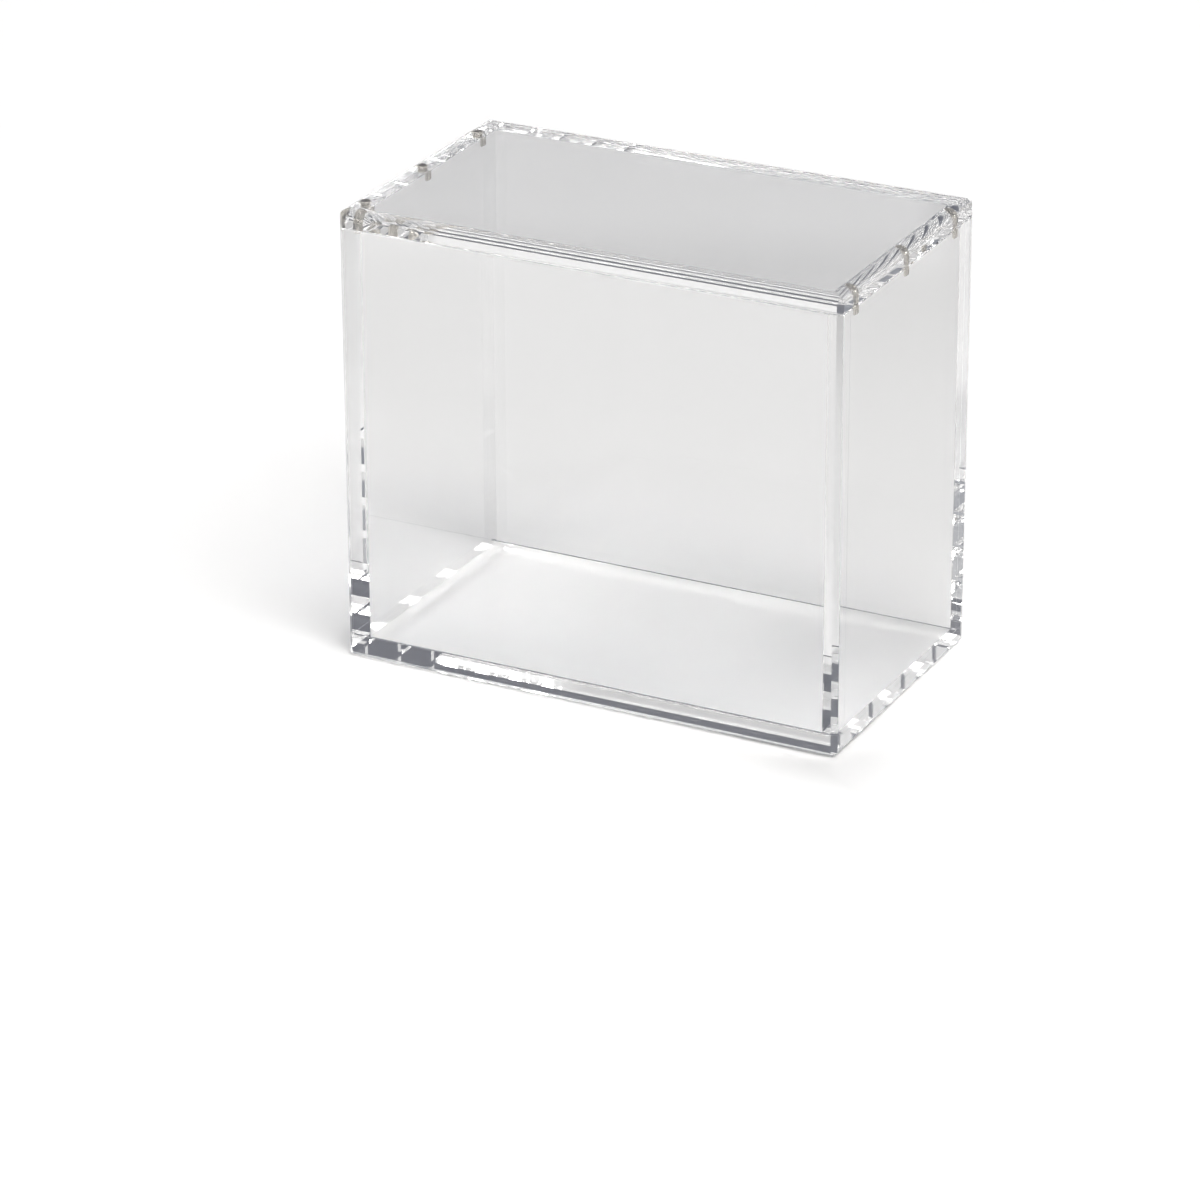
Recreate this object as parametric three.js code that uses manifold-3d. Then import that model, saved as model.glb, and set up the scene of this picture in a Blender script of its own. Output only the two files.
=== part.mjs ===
// Clear acrylic display case for one booster box: a box of five solvent-welded panels and a loose slab lid
// that six pairs of cylinder magnets hold down.
// Millimetres, +Z up. The front panel faces -Y, and the origin is the middle of the base's underside.
import * as THREE from "three";
import { mergeVertices } from "three/addons/utils/BufferGeometryUtils.js";
import Module from "manifold-3d";

// Room inside, for the box that the case shows.
const INSIDE_WIDTH = 142.5;
const INSIDE_DEPTH = 76.7;
const INSIDE_HEIGHT = 124.6;

// Sheet thicknesses.
const WALL = 5.6;
const BASE = 5.6;
const LID = 5.5;

// Edges: the wide polished bevel on the upright corners and round the foot, the fine one along the seam
// under the lid, and the round-over along the lid's top.
const BEVEL = 1.5;
const SEAM_BEVEL = 0.3;
const ROUND_OVER = 3;
const ROUND_OVER_STEPS = 8;

// Magnets: plated cylinders, with the outer ones this far from the ends of the side panels.
const MAGNET_DIAMETER = 3;
const MAGNET_LENGTH = 3;
const MAGNET_RIM = 0.2;
const MAGNET_INSET = 5.5;
const MAGNET_FACETS = 32;

// Clearances: the welded joint between two panels, the glue round and under a magnet, how far a magnet
// stays below its face, and the air between the lid and the edges it rests on.
const CEMENT_FILM = 0.05;
const GLUE_LINE = 0.2;
const MAGNET_SINK = 0.1;
const LID_SEAT = 0.1;

// Worked out from the sizes above.
const WIDTH = INSIDE_WIDTH + 2 * WALL;
const DEPTH = INSIDE_DEPTH + 2 * WALL;
const BODY_HEIGHT = BASE + INSIDE_HEIGHT;
const BORE_RADIUS = MAGNET_DIAMETER / 2 + GLUE_LINE;
const BORE_DEPTH = MAGNET_SINK + MAGNET_LENGTH + GLUE_LINE;
const MAGNET_X = (INSIDE_WIDTH + WALL) / 2;
const MAGNET_Y = INSIDE_DEPTH / 2 - MAGNET_INSET;

const SIDES = { left: -1, right: 1 };
const PLACES = { front: -1, middle: 0, rear: 1 };

const wasm = await Module();
wasm.setup();

// A closed geometry as a solid that can be joined and cut.
function toSolid(geometry) {
  const bare = geometry.clone();
  bare.deleteAttribute("normal");
  bare.deleteAttribute("uv");
  const merged = mergeVertices(bare);
  return new wasm.Manifold(
    new wasm.Mesh({
      numProp: 3,
      vertProperties: new Float32Array(merged.attributes.position.array),
      triVerts: new Uint32Array(merged.index.array),
    }),
  );
}

// The solid back as a geometry with flat facets.
function toGeometry(solid) {
  const mesh = solid.getMesh();
  const geometry = new THREE.BufferGeometry();
  geometry.setAttribute("position", new THREE.BufferAttribute(mesh.vertProperties, 3));
  geometry.setIndex(new THREE.BufferAttribute(mesh.triVerts, 1));
  const faceted = geometry.toNonIndexed();
  faceted.computeVertexNormals();
  return faceted;
}

// A plain rectangular sheet between two corners.
function sheet(low, high) {
  const size = new THREE.Vector3().subVectors(high, low);
  const centre = new THREE.Vector3().addVectors(low, high).multiplyScalar(0.5);
  const geometry = new THREE.BoxGeometry(size.x, size.y, size.z);
  geometry.translate(centre.x, centre.y, centre.z);
  return toSolid(geometry);
}

// The upright section of a polished block: bevelled bottom corners and rounded top corners.
function uprightSection(span, height, footBevel, topRadius) {
  const half = span / 2;
  const section = new THREE.Shape();
  section.moveTo(-half + footBevel, 0);
  section.lineTo(half - footBevel, 0);
  section.lineTo(half, footBevel);
  section.lineTo(half, height - topRadius);
  section.absarc(half - topRadius, height - topRadius, topRadius, 0, Math.PI / 2, false);
  section.lineTo(-half + topRadius, height);
  section.absarc(-half + topRadius, height - topRadius, topRadius, Math.PI / 2, Math.PI, false);
  section.lineTo(-half, footBevel);
  section.closePath();
  return section;
}

// The outline of the case seen from above: a rectangle with its corners bevelled.
function planOutline() {
  const x = WIDTH / 2;
  const y = DEPTH / 2;
  const outline = new THREE.Shape();
  outline.moveTo(x - BEVEL, -y);
  outline.lineTo(x, -y + BEVEL);
  outline.lineTo(x, y - BEVEL);
  outline.lineTo(x - BEVEL, y);
  outline.lineTo(-x + BEVEL, y);
  outline.lineTo(-x, y - BEVEL);
  outline.lineTo(-x, -y + BEVEL);
  outline.lineTo(-x + BEVEL, -y);
  outline.closePath();
  return outline;
}

// A block of the case's full width and depth as it comes off the edge polisher: the sections along X and
// along Y and the outline from above, all met, so that the edge shapes mitre at the corners.
function polishedBlock(height, footBevel, topRadius, arcSteps) {
  const extrude = (shape, depth) =>
    new THREE.ExtrudeGeometry(shape, { depth, bevelEnabled: false, curveSegments: arcSteps });
  const alongY = extrude(uprightSection(WIDTH, height, footBevel, topRadius), DEPTH);
  alongY.rotateX(Math.PI / 2);
  alongY.translate(0, DEPTH / 2, 0);
  const alongX = extrude(uprightSection(DEPTH, height, footBevel, topRadius), WIDTH);
  alongX.rotateX(Math.PI / 2);
  alongX.rotateZ(Math.PI / 2);
  alongX.translate(-WIDTH / 2, 0, 0);
  const upright = extrude(planOutline(), height);
  return toSolid(alongY).intersect(toSolid(alongX)).intersect(toSolid(upright));
}

// A blind magnet bore as a cutter that runs from the floor of the bore up or down past its mouth.
function boreCutter(x, y, mouth, direction) {
  const overrun = BORE_DEPTH;
  const cutter = new THREE.CylinderGeometry(
    BORE_RADIUS,
    BORE_RADIUS,
    BORE_DEPTH + overrun,
    MAGNET_FACETS,
  );
  cutter.rotateX(Math.PI / 2);
  cutter.translate(x, y, mouth + (direction * (overrun - BORE_DEPTH)) / 2);
  return toSolid(cutter);
}

// A plated cylinder magnet with its rims bevelled, standing on its lower face.
function magnetGeometry() {
  const radius = MAGNET_DIAMETER / 2;
  const profile = [
    new THREE.Vector2(0, 0),
    new THREE.Vector2(radius - MAGNET_RIM, 0),
    new THREE.Vector2(radius, MAGNET_RIM),
    new THREE.Vector2(radius, MAGNET_LENGTH - MAGNET_RIM),
    new THREE.Vector2(radius - MAGNET_RIM, MAGNET_LENGTH),
    new THREE.Vector2(0, MAGNET_LENGTH),
  ];
  const geometry = new THREE.LatheGeometry(profile, MAGNET_FACETS);
  geometry.rotateX(Math.PI / 2);
  return geometry;
}

function acrylic() {
  return new THREE.MeshStandardMaterial({
    color: 0xf1f4f6,
    roughness: 0.04,
    metalness: 0,
    transparent: true,
    opacity: 0.3,
  });
}

function nickelPlate() {
  return new THREE.MeshStandardMaterial({ color: 0xb9b6b0, roughness: 0.22, metalness: 1 });
}

function addPiece(group, name, geometry, material) {
  const mesh = new THREE.Mesh(geometry, material);
  mesh.name = name;
  group.add(mesh);
  return mesh;
}

// The welded box. Its outside is trimmed and polished as one block after welding, so each panel is its sheet
// met with that block. The walls stand on the base, and the side panels sit between the front and the back.
const welded = new THREE.Group();
const outside = polishedBlock(BODY_HEIGHT, BEVEL, SEAM_BEVEL, 1);
const outerX = WIDTH / 2;
const outerY = DEPTH / 2;
const innerX = INSIDE_WIDTH / 2;
const innerY = INSIDE_DEPTH / 2;
const wallFoot = BASE + CEMENT_FILM;
const sideEnd = innerY - CEMENT_FILM;

const basePanel = sheet(
  new THREE.Vector3(-outerX, -outerY, 0),
  new THREE.Vector3(outerX, outerY, BASE),
);
addPiece(welded, "base_panel", toGeometry(basePanel.intersect(outside)), acrylic());

const frontPanel = sheet(
  new THREE.Vector3(-outerX, -outerY, wallFoot),
  new THREE.Vector3(outerX, -innerY, BODY_HEIGHT),
);
addPiece(welded, "front_panel", toGeometry(frontPanel.intersect(outside)), acrylic());

const backPanel = sheet(
  new THREE.Vector3(-outerX, innerY, wallFoot),
  new THREE.Vector3(outerX, outerY, BODY_HEIGHT),
);
addPiece(welded, "back_panel", toGeometry(backPanel.intersect(outside)), acrylic());

for (const [side, sign] of Object.entries(SIDES)) {
  const [lowX, highX] = [sign * innerX, sign * outerX].sort((a, b) => a - b);
  let panel = sheet(
    new THREE.Vector3(lowX, -sideEnd, wallFoot),
    new THREE.Vector3(highX, sideEnd, BODY_HEIGHT),
  ).intersect(outside);
  for (const [place, along] of Object.entries(PLACES)) {
    panel = panel.subtract(boreCutter(sign * MAGNET_X, along * MAGNET_Y, BODY_HEIGHT, 1));
    const magnet = addPiece(welded, `case_magnet_${side}_${place}`, magnetGeometry(), nickelPlate());
    magnet.position.set(
      sign * MAGNET_X,
      along * MAGNET_Y,
      BODY_HEIGHT - MAGNET_SINK - MAGNET_LENGTH,
    );
  }
  addPiece(welded, `${side}_panel`, toGeometry(panel), acrylic());
}

// The loose lid, drawn with its underside at zero and set down on the walls by its group.
const lid = new THREE.Group();
lid.position.z = BODY_HEIGHT + LID_SEAT;
let lidPanel = polishedBlock(LID, SEAM_BEVEL, ROUND_OVER, ROUND_OVER_STEPS);
for (const [side, sign] of Object.entries(SIDES)) {
  for (const [place, along] of Object.entries(PLACES)) {
    lidPanel = lidPanel.subtract(boreCutter(sign * MAGNET_X, along * MAGNET_Y, 0, -1));
    const magnet = addPiece(lid, `lid_magnet_${side}_${place}`, magnetGeometry(), nickelPlate());
    magnet.position.set(sign * MAGNET_X, along * MAGNET_Y, MAGNET_SINK);
  }
}
addPiece(lid, "lid_panel", toGeometry(lidPanel), acrylic());

const boosterBoxCase = new THREE.Group();
boosterBoxCase.name = "booster_box_case";
boosterBoxCase.add(welded, lid);

export default boosterBoxCase;
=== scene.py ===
# %% [markdown]
# A clear case for one booster box.
# The real case is five sheets of cast acrylic, solvent-welded into an open box, and a loose slab lid that
# six pairs of small magnets hold down. The CAD frame already says where every sheet and magnet is, so this
# lesson dresses it: polished bevels, clear welds, plated magnets and a studio for clear plastic.

# %% Load the frame
import math

import bmesh
import bpy
from mathutils import Matrix, Vector


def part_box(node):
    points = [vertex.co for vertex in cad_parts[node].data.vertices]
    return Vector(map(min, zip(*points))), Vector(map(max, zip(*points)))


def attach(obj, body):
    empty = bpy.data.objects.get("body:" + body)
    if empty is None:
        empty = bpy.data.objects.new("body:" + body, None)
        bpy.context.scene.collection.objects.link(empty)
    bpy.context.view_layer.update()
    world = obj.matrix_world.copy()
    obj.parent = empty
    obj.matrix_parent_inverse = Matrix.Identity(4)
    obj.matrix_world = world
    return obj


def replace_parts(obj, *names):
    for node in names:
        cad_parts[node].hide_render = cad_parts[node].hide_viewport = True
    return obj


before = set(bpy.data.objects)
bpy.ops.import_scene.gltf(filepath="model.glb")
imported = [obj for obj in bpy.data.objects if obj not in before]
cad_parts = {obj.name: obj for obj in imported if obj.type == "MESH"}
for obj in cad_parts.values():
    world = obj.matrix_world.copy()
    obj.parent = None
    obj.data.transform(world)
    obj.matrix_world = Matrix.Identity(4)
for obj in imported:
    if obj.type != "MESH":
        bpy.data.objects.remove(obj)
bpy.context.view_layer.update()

MM = 0.001
scene = bpy.context.scene

# %% [markdown]
# Clear plastic shows nothing but what it bends, so the sizes that matter are the ones light crosses: the
# thickness of the walls, the film in the welds and the air under the lid. Typing them in again would let
# the looks drift away from the CAD model, so they are all read from the frame.

# %% Sizes that the sheets share
PANELS = ("base_panel", "front_panel", "back_panel", "left_panel", "right_panel")
panel_boxes = {name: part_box(name) for name in PANELS}
case_low = panel_boxes["base_panel"][0]
case_high = panel_boxes["back_panel"][1]
lid_low, lid_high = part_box("lid_panel")
inner_x = panel_boxes["right_panel"][0].x
inner_y = panel_boxes["back_panel"][0].y
weld_film = panel_boxes["front_panel"][0].z - panel_boxes["base_panel"][1].z
print("wall", round((case_high.x - inner_x) / MM, 2), "weld film", round(weld_film / MM, 3))
print("air under the lid", round((lid_low.z - case_high.z) / MM, 2))

# %% [markdown]
# Three small helpers serve every material below. The first turns a colour as a screen shows it, written as
# a hex value, into the linear light that shaders work in. The second adds a node, sets its properties and
# links its inputs, so that a material reads as a list of what feeds what. The third starts a material.


# %% Helpers for materials
def linear(hex_colour, alpha=1.0):
    """An sRGB hex colour as linear RGBA."""
    channels = [int(hex_colour[i : i + 2], 16) / 255 for i in (1, 3, 5)]
    return (*[c / 12.92 if c <= 0.04045 else ((c + 0.055) / 1.055) ** 2.4 for c in channels], alpha)


def add_node(tree, kind, settings=None, **inputs):
    """Adds a node. settings are its properties, and an input is a value, a socket or another node."""
    node = tree.nodes.new(kind)
    for name, value in (settings or {}).items():
        setattr(node, name, value)
    for name, value in inputs.items():
        wanted = name.replace("_", " ")
        socket = next(s for s in node.inputs if s.enabled and (s.identifier == name or s.name == wanted))
        if isinstance(value, bpy.types.Node):
            value = next(s for s in value.outputs if s.enabled)
        if isinstance(value, bpy.types.NodeSocket):
            tree.links.new(value, socket)
        else:
            socket.default_value = value
    return node


def new_material(name):
    """An empty material and its node tree."""
    material = bpy.data.materials.new(name)
    material.use_nodes = True
    material.node_tree.nodes.clear()
    return material, material.node_tree


# %% [markdown]
# Two more helpers join nodes in ways that come back often: a soft step from one value to another, and one
# colour laid over a second by a factor.


# %% Helpers for blending
def blend_in(tree, value, start, full):
    """A smooth step from 0 at start to 1 at full."""
    smooth = {"interpolation_type": "SMOOTHSTEP"}
    return add_node(tree, "ShaderNodeMapRange", smooth, Value=value, From_Min=start, From_Max=full)


def mixed(tree, factor, below, above):
    """One colour laid over another."""
    colour = {"data_type": "RGBA"}
    return add_node(tree, "ShaderNodeMix", colour, Factor_Float=factor, A_Color=below, B_Color=above)


# %% [markdown]
# Cast acrylic is PMMA, poured between two glass plates and set there. It is clearer than window glass and
# bends light a little less, with an index of 1.49. The faces keep the polish of the glass and a slow swell
# of less than a micrometre. That sounds like nothing, but a ray that runs along the lid meets it a hundred
# times, and the lines in the far edge start to swim. Wiping leaves hairlines that soften a highlight. The
# cut edges are diamond-polished, so one material serves faces and edges alike. To the eye it is nothing but
# bright and dark lines at the edges and a faint grey in the faces.

# %% Material: cast acrylic, polished
ACRYLIC_INDEX = 1.49
SWELL_PERIOD, SWELL_HEIGHT = 45 * MM, 0.0002 * MM
# Real hairlines are some hundredths of a millimetre wide. They are drawn coarser, so that a pixel meets one.
HAIRLINE_SPACING, HAIRLINE_WIDTH = 18 * MM, 0.2 * MM
HAIRLINE_ROUGHNESS = 0.03
# A patch is wiped where the swell's noise lies above these values.
WIPED_START, WIPED_FULL = 0.5, 0.65


def cast_acrylic():
    material, tree = new_material("cast_acrylic_polished")
    place = add_node(tree, "ShaderNodeTexCoord").outputs["Object"]
    swell = add_node(tree, "ShaderNodeTexNoise", Vector=place, Scale=1 / SWELL_PERIOD, Detail=1.0)
    edges = {"feature": "DISTANCE_TO_EDGE"}
    network = add_node(tree, "ShaderNodeTexVoronoi", edges, Vector=place, Scale=1 / HAIRLINE_SPACING)
    hairline = blend_in(tree, network, HAIRLINE_WIDTH / HAIRLINE_SPACING, 0.0)
    wiped = blend_in(tree, swell, WIPED_START, WIPED_FULL)
    scuff = add_node(tree, "ShaderNodeMath", {"operation": "MULTIPLY"}, Value=hairline, Value_001=wiped)
    shader = add_node(
        tree,
        "ShaderNodeBsdfPrincipled",
        Base_Color=mixed(tree, swell, linear("#ffffff"), linear("#fefefe")),
        Roughness=add_node(tree, "ShaderNodeMapRange", Value=scuff, To_Max=HAIRLINE_ROUGHNESS),
        Normal=add_node(tree, "ShaderNodeBump", Height=swell, Distance=SWELL_HEIGHT),
        IOR=ACRYLIC_INDEX,
        Transmission_Weight=1.0,
    )
    add_node(tree, "ShaderNodeOutputMaterial", Surface=shader)
    return material


acrylic = cast_acrylic()
print(acrylic.name, "nodes", len(acrylic.node_tree.nodes))

# %% [markdown]
# A solvent weld melts two sheets into each other, and clear glue fills the bore round a magnet. Light goes
# straight through both, so a bond has no look of its own. A face inside it gets a shader that neither bends
# nor mirrors, and then two sheets shade as one solid and a magnet shows as if it were cast in.


# %% Material: clear bond
def clear_bond():
    material, tree = new_material("solvent_weld_clear")
    clear = add_node(tree, "ShaderNodeBsdfTransparent", Color=linear("#ffffff"))
    add_node(tree, "ShaderNodeOutputMaterial", Surface=clear)
    return material


bond = clear_bond()
print(bond.name, "lets all light through")

# %% [markdown]
# The magnets are pressed from powder and plated with bright nickel, a slightly warm grey metal. The plate
# follows the grain of the pressed powder: it isn't quite flat and shines a little more on the high spots.
# So one grain drives its colour, its roughness and its bump together.

# %% Material: nickel plate, bright
# The powder's grain is about 0.01 mm. It is drawn coarser, or a magnet ten pixels wide would only shimmer.
GRAIN_SIZE, GRAIN_HEIGHT = 0.3 * MM, 0.004 * MM
PLATE_SMOOTH, PLATE_DULL = 0.1, 0.26


def nickel_plate():
    material, tree = new_material("nickel_plate_bright")
    place = add_node(tree, "ShaderNodeTexCoord").outputs["Object"]
    grain = add_node(tree, "ShaderNodeTexNoise", Vector=place, Scale=1 / GRAIN_SIZE, Detail=3.0)
    shader = add_node(
        tree,
        "ShaderNodeBsdfPrincipled",
        Base_Color=mixed(tree, grain, linear("#bdb8af"), linear("#dedbd5")),
        Metallic=1.0,
        Roughness=add_node(tree, "ShaderNodeMapRange", Value=grain, To_Min=PLATE_DULL, To_Max=PLATE_SMOOTH),
        Normal=add_node(tree, "ShaderNodeBump", Height=grain, Distance=GRAIN_HEIGHT),
    )
    add_node(tree, "ShaderNodeOutputMaterial", Surface=shader)
    return material


nickel = nickel_plate()
print(nickel.name, "nodes", len(nickel.node_tree.nodes))

# %% [markdown]
# A saw, a planer and a polishing wheel all leave flat planes. So each sheet is made here as it is in the
# shop: a square block, with planes shaved off it. A bevel modifier would give the same edges, but not the
# clean mitre where three bevels meet at a corner of the foot.

# %% Blocks and planes
# Lengths below TOUCH count as nothing. Two normals whose product is above FLAT count as one plane.
TOUCH, FLAT = 1e-6, 0.9999
LEFT, FRONT, DOWN = Vector((-1, 0, 0)), Vector((0, -1, 0)), Vector((0, 0, -1))
RIGHT, BACK, UP = -LEFT, -FRONT, -DOWN
SIDES = (LEFT, RIGHT, FRONT, BACK)


def block(low, high):
    """A box between two corners, as a bmesh."""
    bm = bmesh.new()
    bmesh.ops.create_cube(bm, size=1.0)
    middle, size = (low + high) / 2, high - low
    for v in bm.verts:
        v.co = middle + Vector(a * b for a, b in zip(v.co, size))
    return bm


def bevel_plane(low, high, u, v, width):
    """A point and a normal: the bevel between the faces of a box that look along u and v."""
    corner = Vector(high[i] if (u + v)[i] > 0 else low[i] for i in range(3))
    return corner - u * width, (u + v).normalized()


def shave(bm, point, normal):
    """Cuts off what lies past a plane and closes the cut with one flat face."""
    geom = bm.verts[:] + bm.edges[:] + bm.faces[:]
    cut = bmesh.ops.bisect_plane(
        bm, geom=geom, dist=TOUCH, plane_co=point, plane_no=normal, clear_outer=True
    )
    rim = [e for e in cut["geom_cut"] if isinstance(e, bmesh.types.BMEdge)]
    if rim:
        bmesh.ops.contextual_create(bm, geom=rim)


def finish_mesh(bm, name, materials):
    """A bmesh as an object in the scene, at the origin."""
    bmesh.ops.recalc_face_normals(bm, faces=bm.faces[:])
    mesh = bpy.data.meshes.new(name)
    bm.to_mesh(mesh)
    bm.free()
    for m in materials:
        mesh.materials.append(m)
    piece = bpy.data.objects.new(name, mesh)
    scene.collection.objects.link(piece)
    return piece


# %% [markdown]
# The box is welded first and trimmed as one block afterwards. That leaves a wide polished bevel on the four
# upright corners and round the foot, and a fine one along the top, where the lid closes. A sheet gets the
# planes that reach it, so the bevel runs on unbroken from one sheet to the next.

# %% Planes of the trimmed box
BEVEL = 1.5 * MM
SEAM_BEVEL = 0.3 * MM


def upright_bevels(low, high):
    return [bevel_plane(low, high, u, v, BEVEL) for u in (LEFT, RIGHT) for v in (FRONT, BACK)]


case_planes = upright_bevels(case_low, case_high)
case_planes += [bevel_plane(case_low, case_high, u, DOWN, BEVEL) for u in SIDES]
case_planes += [bevel_plane(case_low, case_high, u, UP, SEAM_BEVEL) for u in SIDES]
print("planes shaved off the welded box:", len(case_planes))

# %% [markdown]
# A face is inside a weld where another sheet starts just past it. The broad faces are first scored along
# the lines where their neighbours end, so that each joint is a face of its own and can get the bond.
# Under the front and the back sheet the solvent stops just short of the inner edge. The hair of air that is
# left there mirrors the dark of the room, and it draws the thin line along the inside of the foot.

# %% Welds
WELD_EDGE = 1.0 * MM


def score(bm):
    """Cuts the faces along the lines where another sheet's inner face meets them."""
    for normal, at in ((RIGHT, -inner_x), (RIGHT, inner_x), (BACK, -inner_y), (BACK, inner_y)):
        geom = bm.verts[:] + bm.edges[:] + bm.faces[:]
        bmesh.ops.bisect_plane(bm, geom=geom, dist=TOUCH, plane_co=normal * at, plane_no=normal)


def one_face_per_joint(bm, own):
    """Numbers each face by the sheet that lies against it, and joins flat faces of one number."""
    others = [name for name in PANELS if name != own]
    for f in bm.faces:
        probe = f.calc_center_median() + f.normal * weld_film * 2
        for number, name in enumerate(others, 1):
            low, high = panel_boxes[name]
            if all(low[i] < probe[i] < high[i] for i in range(3)):
                f.material_index = number
    pairs = [(e, *e.link_faces) for e in bm.edges]
    alike = [(e, f, g) for e, f, g in pairs if f.material_index == g.material_index]
    flat = [e for e, f, g in alike if f.normal.dot(g.normal) > FLAT]
    bmesh.ops.dissolve_edges(bm, edges=flat, use_verts=True)


def bond_joints(bm):
    """Gives the joints the second material, but not the inner rim of the front and back feet."""
    joints = [f for f in bm.faces if f.material_index]
    for f in joints:
        f.material_index = 1
    level = [f for f in joints if abs(f.normal.z) > FLAT]
    feet = [f for f in level if abs(f.calc_center_median().y) > inner_y]
    rims = bmesh.ops.inset_individual(bm, faces=feet, thickness=WELD_EDGE, use_even_offset=True)
    for f in rims["faces"]:
        if abs(f.calc_center_median().y) < inner_y + WELD_EDGE:
            f.material_index = 0
    return len(joints)


# %% [markdown]
# Now the five sheets, each from its own box in the frame. The base carries all four walls, and every wall
# also meets its two neighbours.

# %% Five sheets
sheets = {}
for node in PANELS:
    bm = block(*panel_boxes[node])
    for plane in case_planes:
        shave(bm, *plane)
    score(bm)
    bmesh.ops.recalc_face_normals(bm, faces=bm.faces[:])
    one_face_per_joint(bm, node)
    joints = bond_joints(bm)
    name = node.replace("panel", "sheet")
    sheets[node] = finish_mesh(bm, name, [acrylic, bond])

# %% [markdown]
# The lid is one slab. Its upright corners carry the same bevel as the box below, its lower edges the fine
# one, and a router rounded its top edges over. A round edge is shaved too, by a fan of planes that all
# touch the same small cylinder. Their facets are a fifth of a millimetre wide, which is finer than a pixel,
# and once the bores are cut they are shaded as one curve.

# %% Lid slab
ROUND_OVER = 3 * MM
ROUND_STEPS = 24


def round_over(low, high, side):
    """Planes that touch the rounded top edge on one side."""
    corner = Vector(high[i] if side[i] > 0 else low[i] for i in range(3))
    corner.z = high.z
    axis = corner - (side + UP) * ROUND_OVER
    angles = [step / ROUND_STEPS * math.pi / 2 for step in range(1, ROUND_STEPS)]
    normals = [side * math.cos(a) + UP * math.sin(a) for a in angles]
    return [(axis + n * ROUND_OVER, n) for n in normals]


bm = block(lid_low, lid_high)
lid_planes = upright_bevels(lid_low, lid_high)
lid_planes += [bevel_plane(lid_low, lid_high, u, DOWN, SEAM_BEVEL) for u in SIDES]
for side in SIDES:
    lid_planes += round_over(lid_low, lid_high, side)
for plane in lid_planes:
    shave(bm, *plane)
lid_slab = finish_mesh(bm, "lid_slab", [acrylic, bond])
print("lid_slab planes", len(lid_planes), "faces", len(lid_slab.data.polygons))

# %% [markdown]
# A magnet is a pressed cylinder whose rims were tumbled round before plating. It could be a cylinder with a
# bevel. Here a half profile is spun round the axis, because the same spin also makes the drill for the bore.
# Edges that turn by more than a few degrees stay sharp, so the ends look flat and the side looks round.

# %% One magnet
SPIN_STEPS = 48
RIM, RIM_STEPS = 0.25 * MM, 3
SHARP_EDGE = math.radians(14)


def spun_body(name, radius, length, rim, material):
    """A cylinder with rounded rims, standing on the origin."""
    turns = [step / RIM_STEPS * math.pi / 2 for step in range(RIM_STEPS + 1)]
    lower = [(radius - rim * (1 - math.sin(a)), rim * (1 - math.cos(a))) for a in turns]
    upper = [(r, length - z) for r, z in reversed(lower)]
    profile = [(0.0, 0.0), *lower, *upper, (0.0, length)]
    bm = bmesh.new()
    verts = [bm.verts.new((r, 0.0, z)) for r, z in profile]
    edges = [bm.edges.new(pair) for pair in zip(verts, verts[1:])]
    bmesh.ops.spin(
        bm, geom=verts + edges, cent=(0, 0, 0), axis=(0, 0, 1), angle=2 * math.pi, steps=SPIN_STEPS
    )
    bmesh.ops.remove_doubles(bm, verts=bm.verts[:], dist=TOUCH)
    body = finish_mesh(bm, name, [material])
    body.data.shade_smooth()
    body.data.set_sharp_from_angle(angle=SHARP_EDGE)
    return body


magnet_low, magnet_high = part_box("lid_magnet_left_front")
magnet_length = magnet_high.z - magnet_low.z
magnet_radius = (magnet_high.x - magnet_low.x) / 2
one_magnet = spun_body("one_magnet", magnet_radius, magnet_length, RIM, nickel)
print("magnet", round(2 * magnet_radius / MM, 2), "x", round(magnet_length / MM, 2), "mm")

# %% [markdown]
# Six magnets sit in the box and six in the lid, each time in two rows of three. What repeats is a job for
# Geometry Nodes: two lines of points, a copy of the body on each, and the copies made real. The tree takes
# the body, its finish and the places as named inputs, so the same rows also serve the drills.


# %% Tree: two rows
def two_rows():
    """The tree: two rows of points, a copy of the given body on each, made real."""
    tree = bpy.data.node_groups.new("two_rows", "GeometryNodeTree")
    for name, kind in (
        ("Body", "NodeSocketObject"),
        ("Finish", "NodeSocketMaterial"),
        ("Count", "NodeSocketInt"),
        ("First left", "NodeSocketVector"),
        ("First right", "NodeSocketVector"),
        ("Pitch", "NodeSocketVector"),
    ):
        tree.interface.new_socket(name, in_out="INPUT", socket_type=kind)
    tree.interface.new_socket("Copies", in_out="OUTPUT", socket_type="NodeSocketGeometry")
    given = add_node(tree, "NodeGroupInput").outputs
    joined = add_node(tree, "GeometryNodeJoinGeometry")
    for first in ("First left", "First right"):
        place = {"Start_Location": given[first], "Offset": given["Pitch"], "Count": given["Count"]}
        row = add_node(tree, "GeometryNodeMeshLine", **place)
        tree.links.new(row.outputs["Mesh"], joined.inputs["Geometry"])
    body = add_node(tree, "GeometryNodeObjectInfo", Object=given["Body"]).outputs["Geometry"]
    copies = add_node(tree, "GeometryNodeInstanceOnPoints", Points=joined, Instance=body)
    real = add_node(tree, "GeometryNodeRealizeInstances", Geometry=copies)
    plated = add_node(tree, "GeometryNodeSetMaterial", Geometry=real, Material=given["Finish"])
    add_node(tree, "NodeGroupOutput", Copies=plated)
    return tree


rows_tree = two_rows()
print(rows_tree.name, "inputs", [i.name for i in rows_tree.interface.items_tree if i.in_out == "INPUT"])

# %% [markdown]
# The rows start at the front magnets and end at the rear ones, and the frame knows where those are. Each
# result becomes a plain mesh, one for the box and one for the lid, since the lid moves and takes its own.

# %% Magnets in rows
PER_ROW = 3


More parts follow.
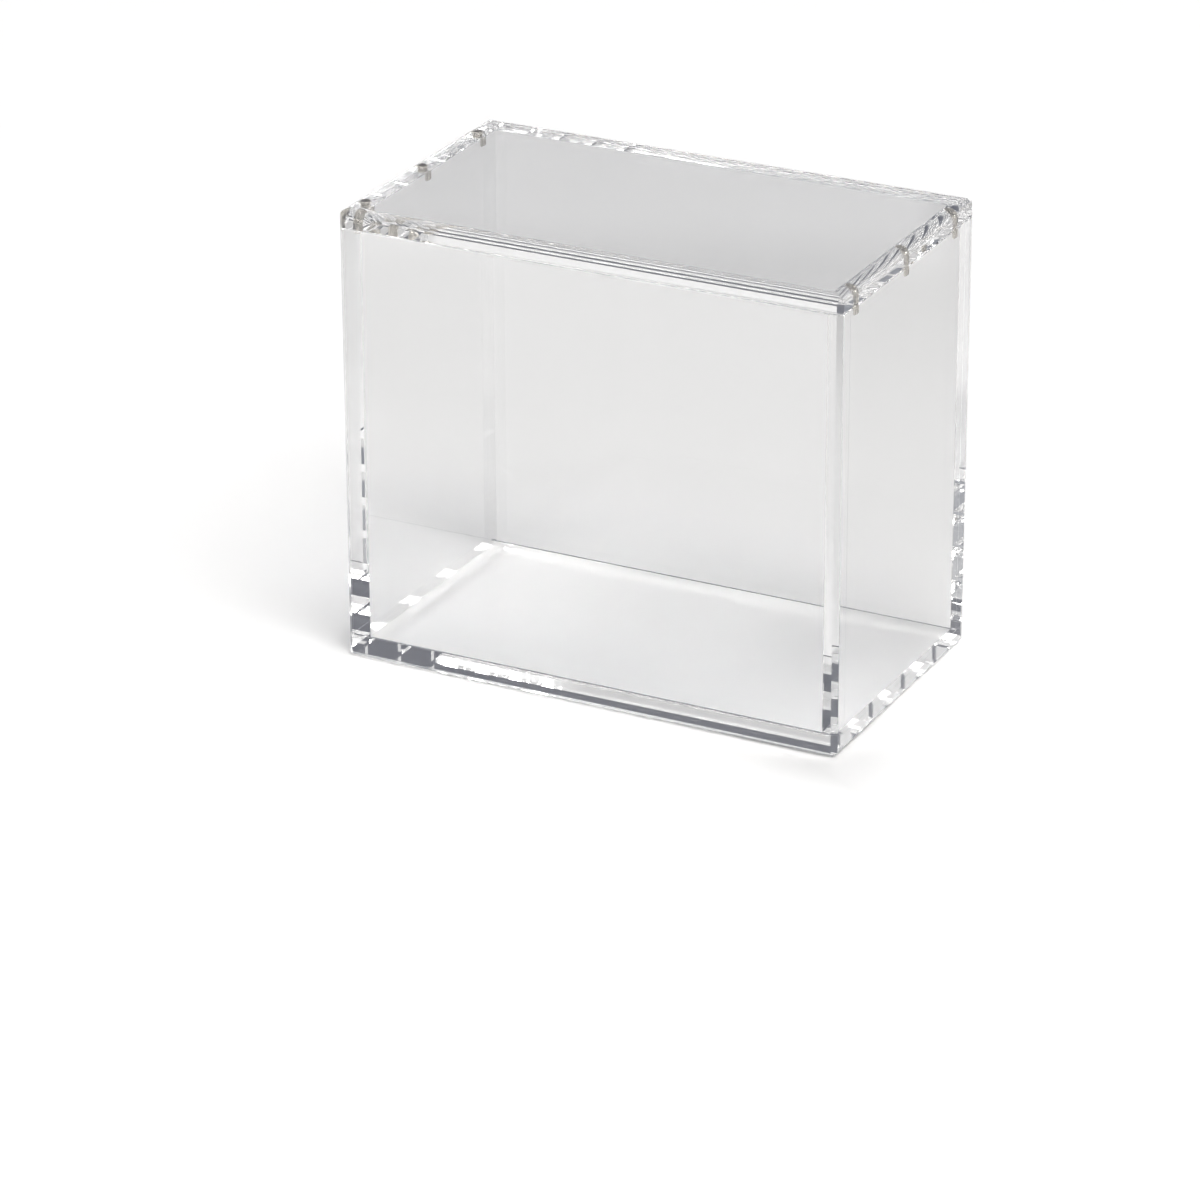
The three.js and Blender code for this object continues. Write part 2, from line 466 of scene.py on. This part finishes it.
def in_rows(name, body, finish, first_left, first_right, last_left):
    """A plain mesh object of the body repeated along the two rows."""
    holder = bpy.data.objects.new(name, bpy.data.meshes.new(name))
    scene.collection.objects.link(holder)
    modifier = holder.modifiers.new("rows", "NODES")
    modifier.node_group = rows_tree
    values = {
        "Body": body,
        "Finish": finish,
        "Count": PER_ROW,
        "First left": first_left,
        "First right": first_right,
        "Pitch": (last_left - first_left) / (PER_ROW - 1),
    }
    for item in rows_tree.interface.items_tree:
        if item.in_out == "INPUT":
            modifier[item.identifier] = values[item.name]
    shown = holder.evaluated_get(bpy.context.evaluated_depsgraph_get())
    made = bpy.data.meshes.new_from_object(shown)
    holder.modifiers.remove(modifier)
    holder.data = made
    return holder


def row_ends(owner):
    """The feet of the magnets that start the two rows, and of the one that ends the left row."""
    feet = []
    for place in ("left_front", "right_front", "left_rear"):
        low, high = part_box(f"{owner}_magnet_{place}")
        feet.append(Vector(((low.x + high.x) / 2, (low.y + high.y) / 2, low.z)))
    return feet


magnets = {}
for owner in ("case", "lid"):
    magnets[owner] = in_rows(f"{owner}_magnets", one_magnet, nickel, *row_ends(owner))
    print(magnets[owner].name, "faces", len(magnets[owner].data.polygons))

# %% [markdown]
# The magnets stand in blind bores, a little wider and deeper than they are, and clear glue fills the gap.
# The bores are real holes, cut with a Boolean by drills that stand in the same rows. Their walls take the
# bond from the drill, so no bright ring shows round a magnet. The spare body and the drill then go.

# %% Bores
BORE_GAP = 0.2 * MM
DRILL_RIM = RIM / 10
bore_depth = magnet_low.z - lid_low.z + magnet_length + BORE_GAP
one_drill = spun_body("one_drill", magnet_radius + BORE_GAP, 2 * bore_depth, DRILL_RIM, bond)


def drill(piece, owner, mouth):
    """Cuts the owner's rows of bores into a piece, with their mouths at one height."""
    rows = row_ends(owner)
    for row in rows:
        row.z = mouth - bore_depth
    bits = in_rows("drill_bits", one_drill, bond, *rows)
    cut = piece.modifiers.new("bores", "BOOLEAN")
    cut.operation = "DIFFERENCE"
    cut.solver = "EXACT"
    cut.material_mode = "TRANSFER"
    cut.object = bits
    shown = piece.evaluated_get(bpy.context.evaluated_depsgraph_get())
    made = bpy.data.meshes.new_from_object(shown)
    piece.modifiers.remove(cut)
    piece.data = made
    bpy.data.objects.remove(bits)
    print(piece.name, "faces", len(made.polygons), "materials", [m.name for m in made.materials])


drill(lid_slab, "lid", lid_low.z)
for side in ("left", "right"):
    drill(sheets[f"{side}_panel"], "case", case_high.z)
for spare in (one_magnet, one_drill):
    bpy.data.objects.remove(spare)

# %% [markdown]
# A round edge of flat facets would act as two dozen small mirrors, and the picture in it would break into
# splinters. Smooth shading makes it one curved mirror, as the router left it. The broad faces stay flat, or
# their shading would lean towards the round edge. The mitres stay sharp: two facets of one edge turn by
# 3.75 degrees and two across a mitre by 5.3 at least, so the limit lies between. It is set first, because
# that call also resets which faces are smooth.

# %% Round-over as one curve
MITRE_TURN = math.radians(5)
lid_slab.data.set_sharp_from_angle(angle=MITRE_TURN)
for face in lid_slab.data.polygons:
    face.use_smooth = 1 - FLAT < face.normal.z < FLAT
print("smooth faces of the lid:", sum(face.use_smooth for face in lid_slab.data.polygons))

# %% [markdown]
# Each dressed piece takes the place of its CAD nodes and rides their body: the box stays, and the lid lifts
# with its own magnets.

# %% Ride the bodies
for node, piece in sheets.items():
    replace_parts(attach(piece, "case"), node)
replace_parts(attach(lid_slab, "lid"), "lid_panel")
for owner, piece in magnets.items():
    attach(piece, owner)
    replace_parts(piece, *[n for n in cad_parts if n.startswith(f"{owner}_magnet_")])
print("pieces that ride:", len(sheets) + 1 + len(magnets))

# %% [markdown]
# Clear plastic takes its tones from the room, so the studio is half of its look, and most of what shows
# through the case is the floor behind it. On an even floor every face would have the same grey. So light and
# shade are painted into the floor's tone from place to place: lighter close by and far behind, darker in
# between, at the right and towards the edge of the table, and lightest under the front of the base. The
# places and tones were found by trial, until each face had about the grey of the photo.

# %% Floor tones
# Each zone of painted light and shade: the way it lies from the case, where it starts and where it is full,
# in metres, and its tone.
PAINTED_LIGHT_AND_SHADE_ZONES = (
    (BACK, 0.06, 0.15, "#d1d1d1"),
    (Vector((-0.35, 0.94, 0.0)), 0.30, 0.36, "#dfdfdf"),
    (Vector((0.9, 0.44, 0.0)), 0.085, 0.105, "#cbcbcb"),
    (Vector((0.7, 0.7, 0.0)), 0.22, 0.36, "#adadad"),
)
CLOSE_BY = "#dddddd"
# Under the base: painted light, with painted shade towards the back.
UNDER_FRONT, UNDER_BACK = "#f7f7f7", "#d4d4d4"
# Under the left wall the floor came out too bright at first, so painted shade lowers its tone there.
LEFT_START, LEFT_FULL = 64 * MM, 70 * MM
LEFT_FRONT, LEFT_BACK = "#dedede", "#bfbfbf"
FOOTPRINT_START, FOOTPRINT_FULL = 1.1, 0.95


def along(tree, place, direction):
    """How far a point lies along a direction."""
    dot = {"operation": "DOT_PRODUCT"}
    return add_node(tree, "ShaderNodeVectorMath", dot, Vector=place, Vector_001=direction).outputs["Value"]


def reach_from(tree, place, middle):
    """How many half sizes of the case a point lies from a middle."""
    sizes = (case_high.x, case_high.y, 1.0)
    kind = "ShaderNodeVectorMath"
    moved = add_node(tree, kind, {"operation": "SUBTRACT"}, Vector=place, Vector_001=middle)
    scaled = add_node(tree, kind, {"operation": "DIVIDE"}, Vector=moved, Vector_001=sizes)
    folded = add_node(tree, kind, {"operation": "ABSOLUTE"}, Vector=scaled)
    part = add_node(tree, "ShaderNodeSeparateXYZ", Vector=folded).outputs
    return add_node(tree, "ShaderNodeMath", {"operation": "MAXIMUM"}, Value=part["X"], Value_001=part["Y"])


def painted_tones_seen_through(tree, place):
    """The floor's colour for light that has crossed the acrylic, with painted light and shade."""
    colour = linear(CLOSE_BY)
    for direction, start, full, tone in PAINTED_LIGHT_AND_SHADE_ZONES:
        zone = blend_in(tree, along(tree, place, direction), start, full)
        colour = mixed(tree, zone, colour, linear(tone))
    depth = blend_in(tree, along(tree, place, BACK), case_low.y, case_high.y)
    under = mixed(tree, depth, linear(UNDER_FRONT), linear(UNDER_BACK))
    under_left = mixed(tree, depth, linear(LEFT_FRONT), linear(LEFT_BACK))
    left = blend_in(tree, along(tree, place, LEFT), LEFT_START, LEFT_FULL)
    footprint = blend_in(tree, reach_from(tree, place, (0, 0, 0)), FOOTPRINT_START, FOOTPRINT_FULL)
    return mixed(tree, footprint, colour, mixed(tree, left, under, under_left))


print("floor zones:", len(PAINTED_LIGHT_AND_SHADE_ZONES), "and the footprint of the case")

# %% [markdown]
# The floor is a sheet of white laminate with a satin finish. It lies a hair below the base, as a real base
# touches a table in a few spots only: the air between lets the base mirror from inside. Where the camera
# looks straight at it, it is white, with a painted contact shadow close round the foot.

# %% Floor
FLOOR_RADIUS, FLOOR_CORNERS, FLOOR_DROP = 4.0, 96, 0.2 * MM
# The second tone is a painted contact shadow on the floor close round the foot, centred a little to the
# front right.
FLOOR_SEEN, FLOOR_PAINTED_SHADOW = "#ececec", "#d4d4d4"
PAINTED_SHADOW_MIDDLE, PAINTED_SHADOW_START, PAINTED_SHADOW_END = Vector((0.004, -0.010, 0.0)), 0.85, 1.25
SATIN = {"Roughness": 0.4, "Specular_IOR_Level": 0.2}


def floor_sheet():
    material, tree = new_material("white_laminate_satin")
    place = add_node(tree, "ShaderNodeTexCoord").outputs["Object"]
    # The tone darkens towards the foot: a painted contact shadow.
    painted_shadow = blend_in(tree, reach_from(tree, place, PAINTED_SHADOW_MIDDLE), PAINTED_SHADOW_START, PAINTED_SHADOW_END)
    white = mixed(tree, painted_shadow, linear(FLOOR_PAINTED_SHADOW), linear(FLOOR_SEEN))
    seen = add_node(tree, "ShaderNodeLightPath").outputs["Is Camera Ray"]
    colour = mixed(tree, seen, painted_tones_seen_through(tree, place), white)
    shader = add_node(tree, "ShaderNodeBsdfPrincipled", Base_Color=colour, **SATIN)
    add_node(tree, "ShaderNodeOutputMaterial", Surface=shader)
    return material


bm = bmesh.new()
bmesh.ops.create_circle(bm, cap_ends=True, segments=FLOOR_CORNERS, radius=FLOOR_RADIUS)
for v in bm.verts:
    v.co.z = case_low.z - FLOOR_DROP
floor = finish_mesh(bm, "studio_floor", [floor_sheet()])
print("floor", 2 * FLOOR_RADIUS, "m across,", round(FLOOR_DROP / MM, 2), "mm below the base")

# %% [markdown]
# One round lamp stands high at the front right: the soft shadow on the left of the case tells where. The
# rest of the room comes in bands of height: a grey skirt at the horizon, a bright strip and a pale sweep of
# backdrop above it, a dark wall, and the ceiling, which sends the light back. In front the light reaches
# lower down. The dark wall draws the crisp lines in the bevels. All of it is painted on the world, since a
# soft step per light is easier to place than a set of lamp objects. These values were found by trial too.

# %% Studio light
WALL_BACK, WALL_FRONT = (0.13, 0.135, 0.16, 1.0), (0.23, 0.245, 0.285, 1.0)
# Each band: its edge and where it is full, in degrees of height, and its light. The later ones lie on top.
SWEEP, STRIP, SKIRT, CEILING = (18.0, 8.0, 0.7), (6.0, 3.0, 1.1), (2.4, 2.0, 0.6), (34.0, 50.0, 0.75)
FRONT_EDGE, FRONT_FULL, FRONT_LIGHT = 22.0, 25.0, 0.7
FACING_START, FACING_FULL = 0.0, 0.5
LAMP_AIM = Vector((0.405, -0.29, 0.866)).normalized()
LAMP_EDGE, LAMP_FULL, LAMP_LIGHT = 17.0, 9.0, (15.8, 15.6, 15.3, 1.0)


def sine(degrees):
    return math.sin(math.radians(degrees))


def grey(light):
    return (light, light, light, 1.0)


world = bpy.data.worlds.new("studio")
scene.world = world
world.use_nodes = True
tree = world.node_tree
tree.nodes.clear()
looking = add_node(tree, "ShaderNodeTexCoord").outputs["Generated"]
height, forward = along(tree, looking, UP), along(tree, looking, FRONT)
sky = mixed(tree, blend_in(tree, forward, -1.0, 1.0), WALL_BACK, WALL_FRONT)
for edge, full, light in (SWEEP, STRIP, SKIRT, CEILING):
    sky = mixed(tree, blend_in(tree, height, sine(edge), sine(full)), sky, grey(light))
facing = blend_in(tree, forward, FACING_START, FACING_FULL)
above = blend_in(tree, height, sine(FRONT_EDGE), sine(FRONT_FULL))
front = add_node(tree, "ShaderNodeMath", {"operation": "MULTIPLY"}, Value=facing, Value_001=above)
sky = mixed(tree, front, sky, grey(FRONT_LIGHT))
lamp = blend_in(tree, along(tree, looking, LAMP_AIM), sine(90 - LAMP_EDGE), sine(90 - LAMP_FULL))
sky = mixed(tree, lamp, sky, LAMP_LIGHT)
seen = add_node(tree, "ShaderNodeLightPath").outputs["Is Camera Ray"]
backdrop = add_node(tree, "ShaderNodeBackground", Color=mixed(tree, seen, sky, grey(1.0)), Strength=1.0)
add_node(tree, "ShaderNodeOutputWorld", Surface=backdrop)
print("lamp", round(math.degrees(math.asin(LAMP_AIM.z))), "degrees up, light", LAMP_LIGHT[1])

# %% [markdown]
# The photo was taken with a long lens from the front right, a little above the case. Place, angles and focal
# length come from a fit of the CAD edges to the edges in the photo, which agree to about half a pixel.

# %% Camera
CAMERA_PLACE = Vector((0.627887, -1.256147, 0.642300))
CAMERA_TURN, CAMERA_TILT, CAMERA_ROLL = 27.2190, 24.0653, -0.2621
FOCAL_PIXELS, PICTURE_PIXELS = 5370.5, 1200

camera_data = bpy.data.cameras.new("photo_camera")
camera_data.sensor_width = 36.0
camera_data.lens = FOCAL_PIXELS / PICTURE_PIXELS * camera_data.sensor_width
camera = bpy.data.objects.new("photo_camera", camera_data)
camera.location = CAMERA_PLACE
turn = Matrix.Rotation(math.radians(CAMERA_TURN), 4, "Z")
tilt = Matrix.Rotation(math.radians(90 - CAMERA_TILT), 4, "X")
roll = Matrix.Rotation(math.radians(CAMERA_ROLL), 4, "Z")
camera.rotation_euler = (turn @ tilt @ roll).to_euler()
scene.collection.objects.link(camera)
scene.camera = camera
print("lens", round(camera_data.lens, 1), "mm at", round(CAMERA_PLACE.length, 2), "m")

# %% [markdown]
# A sheet of acrylic carries light along like a glass fibre: a ray can turn back a hundred times inside the
# lid before an edge lets it out. With the usual dozen bounces those edges go black, so the limit is raised.
# Filter Glossy and the clamp are off, since both would dim the light that reaches the floor through the
# case. The Standard view keeps white paper white.

# %% Light paths and tone
BOUNCES = 256
scene.cycles.max_bounces = BOUNCES
scene.cycles.transmission_bounces = BOUNCES
scene.cycles.glossy_bounces = BOUNCES
scene.cycles.transparent_max_bounces = BOUNCES
scene.cycles.blur_glossy = 0.0
scene.cycles.sample_clamp_indirect = 0.0
scene.view_settings.view_transform = "Standard"
print("bounces", BOUNCES)
